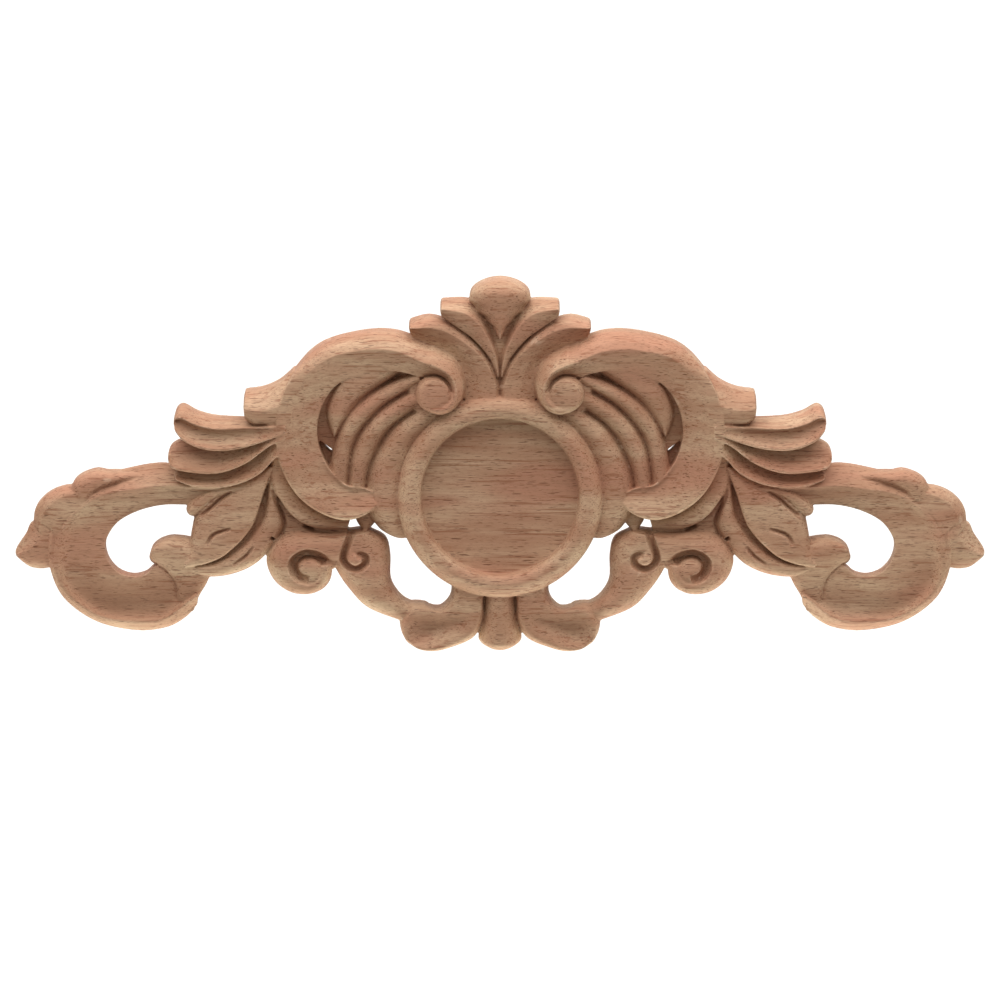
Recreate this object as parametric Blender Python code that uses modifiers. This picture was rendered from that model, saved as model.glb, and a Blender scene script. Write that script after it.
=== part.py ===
"""Carved wooden corner applique, a relief ornament with a round medallion and leafy scrolls.

The ornament is symmetric about X = 0. Every carved element is a closed block that stands on the
flat back (Y = 0) and is sculpted on its front, which faces -Y. The blocks on +X are mirrored, and
all of them are joined into one body. Lengths below are millimetres, and MM turns them into metres.
"""
import math

import bmesh
import bpy
from mathutils import Vector

MM = 0.001
WELD = 0.00002

# Medallion
RING_OUTER = 31.7
RING_INNER = 24.7
RING_CREST = 15.0
FLOOR_HEIGHT = 10.0
RING_STEPS = 56

# Scroll eyes: centre across, centre up, radius
GREAT_EYE = (20.1, 32.3, 5.0)
LOWER_EYE = (58.9, -23.9, 5.4)
SMALL_EYE = (44.6, -20.0, 2.7)
EYE_STEPS = 14
EYE_FOOT = 0.9

# Thickness of the board at its main levels
SCROLL_TOP = 17.5
CREST_TOP = 15.0
RIB_TOP = 12.5
RIB_VALLEY = 8.8
PLUME_TOPS = (13.5, 12.0, 10.5)
LEAF_TOP = 10.0
VOLUTE_TOP = 9.5
FOOT_TOP = 12.0

# Share of the joined faces that the finished solid keeps
KEPT_SHARE = 0.57

# Cross-sections: place across the block, share of the rise from the edge to the crest
ROLL = ((0.0, 0.0), (0.17, 0.66), (0.5, 1.0), (0.83, 0.66), (1.0, 0.0))
SOFT_RIDGE = ((0.0, 0.0), (0.25, 0.66), (0.5, 1.0), (0.75, 0.66), (1.0, 0.0))
OUTER_RIM = ((0.0, 0.0), (0.22, 1.0), (0.5, 0.55), (1.0, 0.0))
BEVELLED = ((0.0, 0.0), (0.3, 1.0), (0.65, 0.5), (1.0, 0.0))
RAISED_LIP = ((0.0, 0.0), (0.22, 0.5), (0.6, 0.78), (0.9, 1.0), (1.0, 0.0))
LOW_RIDGE = ((0.0, 0.0), (0.3, 0.55), (0.62, 1.0), (1.0, 0.0))


def along(points, share):
    """Point at a share of the length of a polyline."""
    lengths = [(b - a).length for a, b in zip(points, points[1:])]
    left = share * sum(lengths)
    for a, b, length in zip(points, points[1:], lengths):
        if left <= length and length > 0:
            return a.lerp(b, left / length)
        left -= length
    return points[-1].copy()


def curve_through(points, count=160):
    """Smooth curve through a few points, evenly spaced along its length."""
    knots = [Vector(p) for p in points]
    if len(knots) == 2:
        return [knots[0].lerp(knots[1], i / count) for i in range(count + 1)]
    knots = [2 * knots[0] - knots[1]] + knots + [2 * knots[-1] - knots[-2]]
    dense = []
    for a, b, c, d in zip(knots, knots[1:], knots[2:], knots[3:]):
        for i in range(24):
            t = i / 24
            dense.append(0.5 * (2 * b + (c - a) * t + (2 * a - 5 * b + 4 * c - d) * t * t
                                + (3 * b - a - 3 * c + d) * t ** 3))
    dense.append(knots[-2])
    return [along(dense, i / count) for i in range(count + 1)]


def arc_points(centre, start_radius, end_radius, start, end, count=9):
    """Points on a spiral whose radius changes evenly in ratio. Angles are in degrees."""
    points = []
    for i in range(count):
        t = i / (count - 1)
        angle = math.radians(start + (end - start) * t)
        radius = start_radius * (end_radius / start_radius) ** t
        points.append((centre[0] + radius * math.cos(angle), centre[1] + radius * math.sin(angle)))
    return points


def graded(values, t):
    """Value at t along evenly spaced values, or the value itself when there is only one."""
    if not isinstance(values, (tuple, list)):
        return values
    place = min(t, 0.999999) * (len(values) - 1)
    low = int(place)
    return values[low] + (values[low + 1] - values[low]) * (place - low)


def rails_of_band(spine, widths):
    """The two edges of a band that follows a spine with the given widths."""
    middle = curve_through(spine)
    last = len(middle) - 1
    upper, lower = [], []
    for i, point in enumerate(middle):
        way = (middle[min(i + 1, last)] - middle[max(i - 1, 0)]).normalized()
        aside = Vector((-way.y, way.x)) * graded(widths, i / last) / 2
        upper.append(point + aside)
        lower.append(point - aside)
    return upper, lower


def rows_along(length, steps, round_start, round_end):
    """Places of the rows along a block, closer together where an end is rounded."""
    start = [s * round_start for s in (0.0, 0.12, 0.42)] if round_start else []
    end = [length - s * round_end for s in (0.42, 0.12, 0.0)] if round_end else []
    first, last = round_start, length - round_end
    middle = [first + (last - first) * i / steps for i in range(steps + 1)]
    return [s / length for s in start + middle + end]


def rounding(distance, radius):
    """How far a row narrows at this distance from a rounded end."""
    if not radius or distance >= radius:
        return 1.0
    return max(0.3, math.sqrt(1 - (1 - distance / radius) ** 2))


def carve(name, rails, section, heights, steps, rounds=(0, 0), spread=1.0):
    """Closed block between two rails. Heights are the first edge, the crest and the second edge."""
    first, second = rails
    length = sum((b - a).length for a, b in zip(first, first[1:])) / 2
    length += sum((b - a).length for a, b in zip(second, second[1:])) / 2
    rows = rows_along(length, steps, *rounds)
    crest_place = max(section, key=lambda knot: knot[1])[0]
    mesh = bmesh.new()
    made = bmesh.ops.create_grid(mesh, x_segments=len(rows) - 1, y_segments=len(section) - 1, size=1)
    for vert in made["verts"]:
        row = round((vert.co.x + 1) / 2 * (len(rows) - 1))
        across, share = section[round((vert.co.y + 1) / 2 * (len(section) - 1))]
        t = rows[row]
        narrow = rounding(t * length, rounds[0]) * rounding((1 - t) * length, rounds[1])
        place = 0.5 + (across - 0.5) * narrow * spread
        flat = along(first, t).lerp(along(second, t), place)
        edge = graded(heights[0] if across < crest_place else heights[2], t)
        crest = edge + (graded(heights[1], t) - edge) * narrow
        height = edge + (crest - edge) * share
        vert.co = Vector((flat.x, -height, flat.y)) * MM
    sides = bmesh.ops.extrude_face_region(mesh, geom=mesh.faces[:])
    for vert in sides["geom"]:
        if isinstance(vert, bmesh.types.BMVert):
            vert.co.y = 0.0
    back = [face for face in mesh.faces if all(vert.co.y == 0.0 for vert in face.verts)]
    bmesh.ops.dissolve_faces(mesh, faces=back, use_verts=False)
    bmesh.ops.recalc_face_normals(mesh, faces=mesh.faces[:])
    return as_object(name, mesh)


def as_object(name, mesh):
    """Put a block's bmesh in the blocks' collection."""
    data = bpy.data.meshes.new(name)
    mesh.to_mesh(data)
    mesh.free()
    made = bpy.data.objects.new(name, data)
    made.hide_render = True
    made.display_type = "WIRE"
    bpy.data.collections["carving_blocks"].objects.link(made)
    return made


def mirrored(block):
    """Give a block its twin on the other side."""
    twin = block.modifiers.new("twin", "MIRROR")
    twin.mirror_object = bpy.data.objects["middle"]
    twin.use_mirror_merge = False
    return block


def leaf(name, upper, lower, section, heights, steps, rounds=(0, 0), spread=1.0):
    """Block between two edges that each run through a few points."""
    rails = (curve_through(upper), curve_through(lower))
    return mirrored(carve(name, rails, section, heights, steps, rounds, spread))


def band(name, spine, widths, section, heights, steps, rounds=(0, 0)):
    """Block that follows a spine. One whose spine lies on the middle has no twin."""
    block = carve(name, rails_of_band(spine, widths), section, heights, steps, rounds)
    return block if spine[0][0] == 0 else mirrored(block)


def turned(name, centre, profile, steps):
    """Disc or dome turned about an axis that stands on the back. The profile is radius, height."""
    mesh = bmesh.new()
    for radius, height in profile:
        mesh.verts.new((radius * MM, -height * MM, 0))
    mesh.verts.ensure_lookup_table()
    for i in range(len(profile) - 1):
        mesh.edges.new((mesh.verts[i], mesh.verts[i + 1]))
    made = as_object(name, mesh)
    made.location = (centre[0] * MM, 0, centre[1] * MM)
    turn = made.modifiers.new("turn", "SCREW")
    turn.axis = "Y"
    turn.steps = turn.render_steps = steps
    turn.use_normal_flip = True
    turn.use_merge_vertices = True
    turn.merge_threshold = WELD
    return made


def eye(name, place, edge, top):
    """Domed eye of a scroll."""
    x, z, radius = place
    profile = [(0, top), (radius * 0.5, top - (top - edge) * 0.22), (radius * 0.85, top - (top - edge) * 0.6),
               (radius, edge), (radius + EYE_FOOT, edge - 3), (radius + EYE_FOOT, 0), (0, 0)]
    return mirrored(turned(name, (x, z), profile, EYE_STEPS))


def medallion():
    """Round frame with a sunk floor."""
    crest = (RING_OUTER + RING_INNER) / 2
    profile = [(0, FLOOR_HEIGHT), (RING_INNER - 1.2, FLOOR_HEIGHT), (RING_INNER, FLOOR_HEIGHT + 1.2),
               (crest - 1.9, RING_CREST - 0.8), (crest, RING_CREST), (crest + 1.9, RING_CREST - 0.8),
               (RING_OUTER, RING_CREST - 2.2), (RING_OUTER, 0), (0, 0)]
    return turned("medallion", (0, 0), profile, RING_STEPS)


def crest_leaves():
    """Bud at the top with two pairs of leaves that spread from the medallion."""
    band("crest_ground", [(0, 56), (0, 29)], (10, 24, 24), SOFT_RIDGE, (7.5, 8, 7.5), 3)
    band("bud", [(0, 67.3), (0, 45.5)], (19.8, 20.6, 20.8, 18.4, 9.5, 5.0, 1.2), ROLL,
         (10.5, (CREST_TOP + 1, CREST_TOP + 1, CREST_TOP - 1), 10.5), 8, (8.2, 0))
    leaf("upper_leaf", [(18.5, 60.5), (9.5, 60.4), (4.5, 56), (1.2, 48), (0.2, 38), (0.1, 32)],
         [(18.3, 56.2), (14.0, 53.4), (8.2, 49.2), (3.6, 43.9), (1.5, 38.5), (0.8, 32)],
         LOW_RIDGE, ((9, 10, 11), (13, 14, 14), (9.5, 11, 12)), 8)
    leaf("lower_leaf", [(28.2, 54.0), (21.5, 55.5), (14.5, 53.0), (8.2, 47.4), (3.4, 41), (1.0, 34),
                        (0.7, 28)],
         [(27.9, 50.6), (25.2, 48.2), (17.8, 45.2), (12.9, 40.8), (10.4, 35.2), (9.8, 28)],
         LOW_RIDGE, ((8, 9, 10), (12.5, 13.5, 14), (9, 10, 11)), 9)


def great_scroll():
    """Broad C-scroll beside the medallion, its curled eye and the shoulder on its back."""
    band("scroll_arm", [(21, 41.6), (29.5, 44.8), (42, 44.6), (54, 40), (61.4, 28.5), (62.2, 15),
                        (56.5, 3.3), (47, -2.3), (37.8, -1.2)],
         (9.5, 11.4, 12, 12.8, 12.4, 12.8, 13, 11, 8.5), BEVELLED,
         ((9, 9, 10, 13.5, 13.5, 11, 9, 8), (SCROLL_TOP, 16.5, 15, 14.5, 13), (12.5, 12, 11, 9.5, 8.5)),
         22, (0, 5))
    leaf("scroll_curl", arc_points(GREAT_EYE, 16.4, 6.2, 68, 285, 11),
         arc_points(GREAT_EYE, 5.0, 4.6, 68, 285, 11), OUTER_RIM, (9, SCROLL_TOP, 12.5), 14)
    eye("scroll_eye", GREAT_EYE, SCROLL_TOP - 2.5, SCROLL_TOP + 0.3)
    leaf("shoulder", [(79.1, 32.2), (73, 33.1), (67.8, 35.4), (62.6, 40), (57.5, 43.6)],
         [(78.9, 24.4), (75, 22.3), (69, 21.9), (63, 22), (58, 23)],
         SOFT_RIDGE, (9, 15, (11.5, 12)), 6, (1.2, 0))


def ribs():
    """Four convex ribs that fan out from under the scroll's eye, and the low ground beside them."""
    valleys = [
        [(43, 39), (52.3, 31.5), (53.8, 24.5), (51.4, 18.2)],
        [(28.2, 38.4), (40.5, 31.5), (47.6, 23.5), (50.9, 18.2)],
        [(25.6, 38.4), (41, 31.2), (49.3, 21.5), (52.9, 6)],
        [(24.6, 35), (37, 27), (45, 16), (47.3, 0)],
        [(23, 29), (33.6, 21), (40, 10), (42, 0)],
        [(18, 25), (26.5, 14.5), (29.5, 1.8), (27.5, -14.3)],
    ]
    pairs = [(valleys[0], valleys[1]), (valleys[2], valleys[3]), (valleys[3], valleys[4]),
             ([(23, 29), (33.6, 21), (39.8, 10), (41.3, 1), (40.4, -5.8), (35.6, -12.5)], valleys[5])]
    for number, (outer, inner) in enumerate(pairs):
        leaf(f"rib_{number + 1}", outer, inner, ROLL,
             (RIB_VALLEY - 1.3, (RIB_TOP + 0.5, RIB_TOP, RIB_TOP - 1), RIB_VALLEY - 1.3), 8, (0, 2.5), 1.12)
    leaf("rib_ground", [(49, 36.5), (57, 27), (57.2, 17), (53.5, 10)],
         [(44, 33), (50, 27), (50, 18), (49.5, 9)], SOFT_RIDGE, (8, 8.6, 8), 6)
    leaf("bridge", [(45.2, -4), (44.2, -8), (42.4, -11.3)], [(38.2, -4), (38.9, -8.6), (41, -11.2)],
         SOFT_RIDGE, (6.5, 8, 6.5), 3)


def plumes():
    """Three shingled plumes that sweep outward from the shoulder."""
    uppers = [
        [(100.5, 26.0), (97.8, 27.7), (93.2, 25.4), (87, 23.9), (76, 23.4), (61, 22.6)],
        [(102.2, 14.6), (98.7, 16.6), (92.5, 17), (84.5, 16.6), (75, 18.6), (61, 21.6)],
        [(100.4, 7.9), (92.8, 8.7), (84.5, 9.8), (75, 14.2), (62, 19.4)],
    ]
    lowers = [
        [(100.6, 21.2), (97.4, 17.5), (91.5, 15), (84.5, 14.6), (76.5, 16.2), (62, 21.2)],
        [(102.6, 11.4), (100.6, 8.6), (93.3, 7.3), (86, 7.5), (78, 10.7), (71, 16.5), (62, 19.5)],
        [(100.6, 5.0), (94.5, 3), (87.5, 2.5), (80.5, 3.9), (74, 7.2), (68.5, 12.8), (61, 15)],
    ]
    for number, top in enumerate(PLUME_TOPS):
        leaf(f"plume_{number + 1}", uppers[number], lowers[number], RAISED_LIP,
             (top - 6, (top - 0.8, top, top, top + 0.5), top - 2), 9)


def drooping_leaf():
    """Leaf of three lobes below the plumes, and the plain strip between it and the scroll."""
    leaf("leaf_side_lobe", [(76, 5.5), (88.2, 2.5), (94.7, -0.8), (97.5, -5)],
         [(76, 1), (86.3, -0.6), (91.5, -5), (95, -7.2)], ROLL, (6.5, LEAF_TOP, 6.5), 6)
    leaf("leaf_main", [(71.5, 9), (80, 4.2), (88.5, 0), (93.6, -5), (95.3, -11), (96.2, -17.5), (97.9, -21)],
         [(70, 9), (73, 0.6), (76.8, -10), (84.5, -18.3), (91, -21.4), (97.3, -22.4)],
         SOFT_RIDGE, (7.5, (LEAF_TOP + 0.5, LEAF_TOP), 7.5), 9)
    leaf("leaf_under_lobe", [(71.5, 6), (75, -5), (80.7, -13.3), (88, -19), (96, -21)],
         [(70, 5), (68.0, -4.8), (66.9, -10), (69.1, -14.6), (75.2, -21.5), (82.8, -25.1), (91, -25.9),
          (96.8, -23.6)],
         LOW_RIDGE, (5.8, LEAF_TOP - 1.2, 5.8), 9)
    leaf("leaf_ground", [(70, 4), (69, -6), (67, -12.8)], [(64, 4), (60.5, -4), (58.5, -11)],
         SOFT_RIDGE, (5, 5.6, 5), 4)
    leaf("strip", [(70.4, 13), (70.6, 4), (67.6, -2), (63.3, -7.2), (57, -10.4), (46, -10.2)],
         [(63, 13), (64, 5), (60, -2), (55.5, -5), (50, -6.6), (44, -6)],
         ROLL, (6.5, (11, 10.5, 9.5), 8), 8)


def end_volute():
    """Outer volute: an arm that sweeps round an open eye to a comma, with lobes on its tip."""
    leaf("volute", [(84, 7.6), (97, 8.4), (106, 9), (116, 7.2), (125, 4.8), (132.5, 0), (137.4, -7),
                    (139.2, -15), (139.1, -23.6), (135.1, -32.6), (125.5, -40.1), (113, -43.1), (103.5, -42.2),
                    (97.5, -39), (93.9, -35)],
         [(84, -4), (97, -3.2), (105, -3.4), (112.5, -5.4), (118.6, -9), (121.9, -14.5),
          (121.6, -19.5), (118.6, -23.8), (114, -25.6), (109.8, -24.8), (107, -22.6), (103.5, -21.5),
          (98, -22.6), (93, -27)],
         OUTER_RIM, ((6, 5, 5, 5, 5), VOLUTE_TOP, (7, 7, 6.5, 6, 6)), 24)
    band("knob", [(113, 5), (120, 4.6), (125.5, 3.9), (128.6, 1.2), (129, -3.4)], (3, 4.6, 7.4, 8, 5.5), ROLL,
         (6.5, VOLUTE_TOP + 0.3, 7), 7, (0, 2.4))
    leaf("outer_lobe", [(129.5, 2.6), (135.4, 1.9), (140.2, -0.4), (143.6, -4.4), (144.4, -9.2)],
         [(127, -3), (132, -5), (135.5, -9), (136.5, -14), (137, -18)],
         ROLL, (5.5, VOLUTE_TOP - 0.7, 6.5), 6)
    leaf("tip_lobe", [(140, -8), (145, -9.4), (146.8, -12.8), (148.7, -15.6), (150.5, -18.4)],
         [(135, -15), (136.2, -20.5), (139.4, -23.1), (144.8, -23.2), (149, -20.6)],
         ROLL, (5, VOLUTE_TOP - 1.5, 5), 6, (0, 1.5))
    leaf("comma", [(108.6, -18.2), (108.0, -20.8), (104.6, -23.4), (100.9, -28.2), (99.9, -32.5),
                   (98.6, -38)],
         [(106.4, -14.9), (100.6, -13.5), (92.5, -15.6), (89.2, -22.5), (90.7, -27.6), (93.1, -31.7),
          (95.2, -36.6)],
         ROLL, (6.5, (LEAF_TOP + 0.5, LEAF_TOP - 0.5, LEAF_TOP - 2), 6), 8)


def lower_scrolls():
    """Two small scrolls that hang between the leaf and the foot."""
    leaf("hook_roll", [(42, -10.6), (52.5, -11.8), (61, -11.3), (68.3, -13.4), (72.2, -19.6), (70.3, -26.4),
                       (64.6, -30.8), (57.5, -30.4)],
         [(42, -17), (48, -21.2), (54, -20.1), (58.9, -18.5), (62.6, -20.4), (62.9, -23.9), (60.6, -26.4),
          (57, -27)],
         ROLL, (6.5, (FOOT_TOP - 1.5, FOOT_TOP - 0.5), 8), 14)
    eye("lower_eye", LOWER_EYE, 7.5, FOOT_TOP - 0.3)
    leaf("swag", [(49.5, -13), (51.9, -19.5), (50.4, -24), (46.6, -29.7), (40.9, -35.5), (31, -39.6),
                  (24, -41.5)],
         [(40, -11.2), (35.4, -14), (34.0, -19.5), (33.9, -26.7), (31.6, -31.2), (27.2, -34.3), (22, -36.0)],
         ROLL, (7, (FOOT_TOP - 1, FOOT_TOP - 0.5), 7), 10)
    band("swag_curl", [(36.8, -27), (37.2, -20), (39.4, -15), (43.6, -14.4), (45.2, -19)],
         (4, 6.5, 6.6, 6, 5), ROLL, (8.5, FOOT_TOP + 0.2, 8.5), 7)
    eye("small_eye", SMALL_EYE, 8.5, FOOT_TOP + 0.4)


def foot():
    """Stem under the medallion with a hollowed lobe on each side."""
    scoop = ((0.0, 0.0), (0.14, 0.8), (0.3, 0.7), (0.5, 0.45), (0.7, 0.6), (0.88, 1.0), (1.0, 0.0))
    leaf("foot_lobe", [(15, -26), (15.4, -32.0), (18.6, -35.5), (22.4, -35), (28.2, -34.5), (31.0, -39.2),
                       (30.0, -45.2)],
         [(4.6, -26), (4.6, -33), (4.9, -39), (8.2, -45), (15, -48.1), (20.5, -49.1), (26.3, -48.0)],
         scoop, (7, FOOT_TOP, 7), 10, (0, 2.5))
    band("stem", [(0, -26), (0, -48.9)], (10, 10.2, 10, 10.4, 12, 13.4, 12.5), ROLL,
         (7.5, FOOT_TOP, 7.5), 8, (0, 4))


def wood():
    """Unfinished pale hardwood."""
    material = bpy.data.materials.new("rubberwood")
    material.use_nodes = True
    shader = material.node_tree.nodes["Principled BSDF"]
    shader.inputs["Base Color"].default_value = (0.44, 0.25, 0.16, 1.0)
    shader.inputs["Roughness"].default_value = 0.75
    shader.inputs["Metallic"].default_value = 0.0
    return material


def applique():
    """Join the blocks into one body. It starts from a cube that lies wholly inside the medallion."""
    data = bpy.data.meshes.new("carved_applique")
    part = bpy.data.objects.new("carved_applique", data)
    bpy.data.collections["carved_corner_applique"].objects.link(part)
    seed = bmesh.new()
    bmesh.ops.create_cube(seed, size=6 * MM)
    bmesh.ops.translate(seed, verts=seed.verts[:], vec=(0, -4 * MM, 0))
    seed.to_mesh(data)
    seed.free()
    join = part.modifiers.new("join_blocks", "BOOLEAN")
    join.operation = "UNION"
    join.operand_type = "COLLECTION"
    join.collection = bpy.data.collections["carving_blocks"]
    join.solver = "EXACT"
    thin = part.modifiers.new("fewer_faces", "DECIMATE")
    thin.ratio = KEPT_SHARE
    data.materials.append(wood())
    return part


def main():
    for old in list(bpy.data.objects):
        bpy.data.objects.remove(old)
    for name in ("carved_corner_applique", "carving_blocks"):
        bpy.context.scene.collection.children.link(bpy.data.collections.new(name))
    bpy.context.scene.collection.objects.link(bpy.data.objects.new("middle", None))
    medallion()
    crest_leaves()
    great_scroll()
    ribs()
    plumes()
    drooping_leaf()
    end_volute()
    lower_scrolls()
    foot()
    applique()


if __name__ == "__main__":
    main()
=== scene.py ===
"""Carved wooden corner applique: its fine carved surface, its wood and the studio it is shown in.

The ornament is symmetric about X = 0 and its back lies on Y = 0. Each carved element is a closed
block whose front is shaped by lines that run along it. The blocks are fused into one body, the
gouge cuts are sunk into it, and it is thinned to a fair number of faces. Lengths in the tables
below are millimetres, and MM turns them into metres.
"""
import math

import bpy
import numpy as np
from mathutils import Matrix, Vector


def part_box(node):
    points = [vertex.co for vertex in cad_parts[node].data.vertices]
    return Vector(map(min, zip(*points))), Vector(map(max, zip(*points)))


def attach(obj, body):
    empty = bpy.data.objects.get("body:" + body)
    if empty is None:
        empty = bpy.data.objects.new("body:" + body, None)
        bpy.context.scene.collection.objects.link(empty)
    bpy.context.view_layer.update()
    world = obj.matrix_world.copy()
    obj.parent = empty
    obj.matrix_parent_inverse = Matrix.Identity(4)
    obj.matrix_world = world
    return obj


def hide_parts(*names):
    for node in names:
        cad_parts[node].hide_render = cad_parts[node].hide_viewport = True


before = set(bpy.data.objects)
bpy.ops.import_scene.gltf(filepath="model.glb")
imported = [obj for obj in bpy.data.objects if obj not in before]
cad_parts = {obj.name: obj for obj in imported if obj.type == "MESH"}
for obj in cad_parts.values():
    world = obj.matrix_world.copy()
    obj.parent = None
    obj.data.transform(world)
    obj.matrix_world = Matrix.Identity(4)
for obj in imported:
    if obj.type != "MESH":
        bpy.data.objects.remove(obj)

bl_info = {
    "name": "Carved corner applique",
    "version": (1, 0, 0),
    "blender": (4, 5, 0),
    "location": "View3D > Sidebar > Applique",
    "description": "Carves a wooden corner applique and sets up a plain studio round it",
    "category": "Add Mesh",
}

MM = 0.001

# Ring of the medallion: its edges across, its highest line and the floor inside it
RING_OUTER = 31.7
RING_INNER = 24.7
RING_CREST = 15.0
FLOOR_HEIGHT = 10.0

# Scroll eyes: centre across, centre up, radius
GREAT_EYE = (20.1, 32.3, 5.0)
LOWER_EYE = (58.9, -23.9, 5.4)
SMALL_EYE = (44.6, -20.0, 2.7)
EYE_FOOT = 0.9

# Thickness of the board at its main levels
SCROLL_TOP = 17.5
RIB_TOP = 12.8
LEAF_TOP = 10.0
VOLUTE_TOP = 9.5
FOOT_TOP = 12.0

# Gouges reach only what stands higher than this, and what lies this near the back is the back
GOUGE_REACH = 4.5
BACK_MARGIN = 0.25

# Most triangles that a piece may have
TRIANGLE_LIMIT = 199000

# Studio, in metres: the width that the camera takes in, the height it aims at and the table's height
FRAME_WIDTH = 0.31
CAMERA_AIM = -2.86 * MM
TABLE_HEIGHT = -0.18

# Spacing of the points along a block, and the points between two of its lines
ROW_SPACING = 0.5
POINTS_BETWEEN_LINES = 7

# Mark of a line that keeps its corner
SHARP = "sharp"


def curve_through(points, count=320, even=True):
    """Smooth curve through a few points, as an array spaced evenly along it or evenly by knot."""
    knots = np.array(points, float)
    if len(knots) == 2:
        share = np.linspace(0, 1, count)[:, None]
        return knots[0] * (1 - share) + knots[1] * share
    knots = np.vstack([2 * knots[0] - knots[1], knots, 2 * knots[-1] - knots[-2]])
    t = np.linspace(0, 1, 24, endpoint=False)[:, None]
    runs = [0.5 * (2 * b + (c - a) * t + (2 * a - 5 * b + 4 * c - d) * t ** 2
                   + (3 * b - a - 3 * c + d) * t ** 3)
            for a, b, c, d in zip(knots, knots[1:], knots[2:], knots[3:])]
    dense = np.vstack(runs + [knots[-2]])
    if not even:
        return dense
    lengths = np.concatenate([[0], np.cumsum(np.linalg.norm(np.diff(dense, axis=0), axis=1))])
    spots = np.linspace(0, lengths[-1], count)
    return np.column_stack([np.interp(spots, lengths, dense[:, axis]) for axis in (0, 1)])


def points_at(curve, t):
    """Points of an evenly spaced curve at shares t of its length."""
    places = np.linspace(0, 1, len(curve))
    return np.column_stack([np.interp(t, places, curve[:, axis]) for axis in (0, 1)])


def length_of(curve):
    """Length of a curve."""
    return np.linalg.norm(np.diff(curve, axis=0), axis=1).sum()


def graded(values, t):
    """Smooth values at t, through values given at even steps from 0 to 1."""
    knots = np.atleast_1d(np.array(values, float))
    if len(knots) == 1:
        return np.full(len(t), knots[0])
    place = np.clip(t, 0, 1) * (len(knots) - 1)
    low = np.minimum(place.astype(int), len(knots) - 2)
    f = place - low
    f = f * f * (3 - 2 * f)
    return knots[low] * (1 - f) + knots[low + 1] * f


def arc_points(centre, start_radius, end_radius, start, end, count):
    """Points on a spiral whose radius changes evenly in ratio. Angles are in degrees."""
    t = np.linspace(0, 1, count)
    angle = np.radians(start + (end - start) * t)
    radius = start_radius * (end_radius / start_radius) ** t
    return np.column_stack([centre[0] + radius * np.cos(angle), centre[1] + radius * np.sin(angle)])


def rails_of_band(spine, widths):
    """The two edges of a band that follows a spine with the given widths."""
    middle = curve_through(spine)
    way = np.gradient(middle, axis=0)
    way /= np.linalg.norm(way, axis=1)[:, None]
    half = graded(widths, np.linspace(0, 1, len(middle)))[:, None] / 2
    aside = np.column_stack([-way[:, 1], way[:, 0]]) * half
    return middle + aside, middle - aside


def blending(sharp):
    """Weights that draw a smooth profile through lines, with a corner at each sharp one."""
    count = len(sharp)
    rows = []
    for i in range(count - 1):
        for f in np.arange(POINTS_BETWEEN_LINES) / POINTS_BETWEEN_LINES:
            before = -0.5 * f + f ** 2 - 0.5 * f ** 3
            after = -0.5 * f ** 2 + 0.5 * f ** 3
            row = np.zeros(count)
            row[i] += 1 - 2.5 * f ** 2 + 1.5 * f ** 3
            row[i + 1] += 0.5 * f + 2 * f ** 2 - 1.5 * f ** 3
            if i == 0 or sharp[i]:
                row[i] += 2 * before
                row[i + 1] -= before
            else:
                row[i - 1] += before
            if i == count - 2 or sharp[i + 1]:
                row[i + 1] += 2 * after
                row[i] -= after
            else:
                row[i + 2] += after
            rows.append(row)
    rows.append(np.eye(count)[-1])
    return np.array(rows)


def end_rounding(distance, radius):
    """How far a block narrows at these distances from an end rounded with this radius."""
    if not radius:
        return np.ones(len(distance))
    return np.sqrt(np.clip(1 - (1 - np.clip(distance / radius, 0, 1)) ** 2, 0.0004, 1))


def rows_along(length, ends):
    """Shares of the length at which a block has rows, closer together at a rounded end."""
    rows = np.linspace(0, 1, max(6, round(length / ROW_SPACING)))
    close = np.array([0.0, 0.02, 0.06, 0.14, 0.25, 0.4, 0.6, 0.8])
    extra = [close * ends[0] / length, 1 - close * ends[1] / length]
    return np.unique(np.concatenate([rows] + [e for e, r in zip(extra, ends) if r]))


def carve(name, rails, lines, ends=(0, 0), spread=1.0):
    """Add a closed block between two rails, flat behind and shaped in front by lines along it.

    A line has its place across, 0 on the first rail and 1 on the second, and its height. Each is one
    number or several along the block, and a line marked SHARP keeps its corner.
    """
    first, second = rails
    length = (length_of(first) + length_of(second)) / 2
    t = rows_along(length, ends)
    narrow = (end_rounding(t * length, ends[0]) * end_rounding((1 - t) * length, ends[1]))[:, None]
    places = np.column_stack([graded(line[0], t) for line in lines])
    heights = np.column_stack([graded(line[1], t) for line in lines])
    edge = heights[:, :1] + (heights[:, -1:] - heights[:, :1]) * places
    heights = edge + (heights - edge) * np.minimum(1, narrow + 0.1 * (narrow < 1))
    weights = blending([SHARP in line[2:] for line in lines]).T
    across = 0.5 + (places @ weights - 0.5) * narrow * spread
    height = heights @ weights
    a, b = points_at(first, t)[:, None, :], points_at(second, t)[:, None, :]
    flat = a + (b - a) * across[:, :, None]
    surface = np.stack([flat[:, :, 0], -height, flat[:, :, 1]], axis=2) * MM
    return solid_from_surface(name, surface)


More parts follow.
